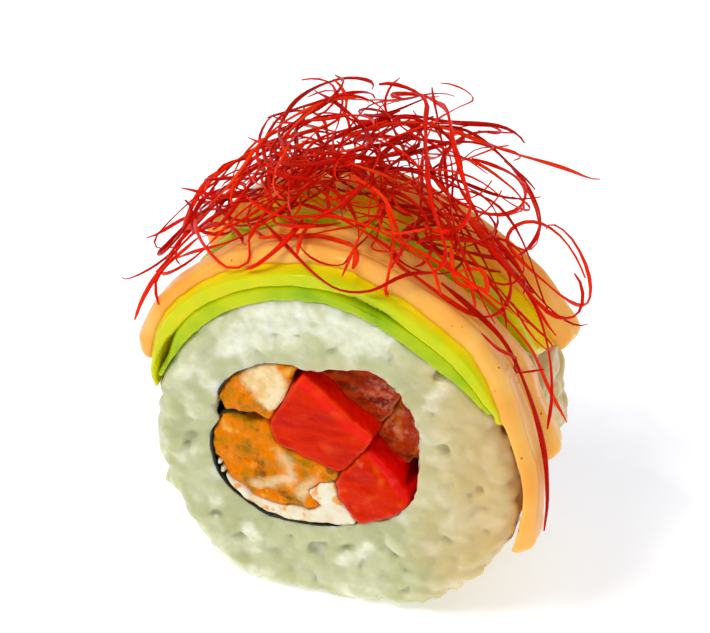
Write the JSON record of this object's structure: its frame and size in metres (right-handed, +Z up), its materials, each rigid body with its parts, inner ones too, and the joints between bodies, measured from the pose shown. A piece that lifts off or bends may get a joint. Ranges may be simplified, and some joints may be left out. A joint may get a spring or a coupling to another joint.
{
  "type": "uramaki roll",
  "caption": "Cut piece of uramaki: rice round nori, tomato, breaded fillet and cream cheese, laid over with avocado, sauce and chilli threads.",
  "frame": {"origin": "on the table, in the flat spot that the piece rests on, under the roll's axis and half way between its two cut faces", "axes": "+Z up; the roll's axis runs along Y, with the front cut face towards -Y; +X to the right of that face"},
  "size_m": [0.0562, 0.0377, 0.0606],
  "materials": {
    "rice": "moist satin",
    "nori": "matte",
    "tomato": "wet gloss",
    "fillet": "rough crumb",
    "cheese": "satin",
    "avocado": "satin",
    "sauce": "glossy",
    "chilli": "satin"
  },
  "bodies": {
    "root": {"rice": "rice", "nori": "nori", "tomato_middle": "tomato", "tomato_upper": "tomato", "tomato_right": "tomato", "tomato_lower": "tomato", "fillet_upper": "fillet", "fillet_lower": "fillet", "cream_cheese": "cheese", "avocado_under": "avocado", "avocado_front": "avocado", "avocado_rear": "avocado", "sauce_front": "sauce", "sauce_middle": "sauce", "sauce_rear": "sauce", "chilli_threads": "chilli"}
  },
  "joints": []
}
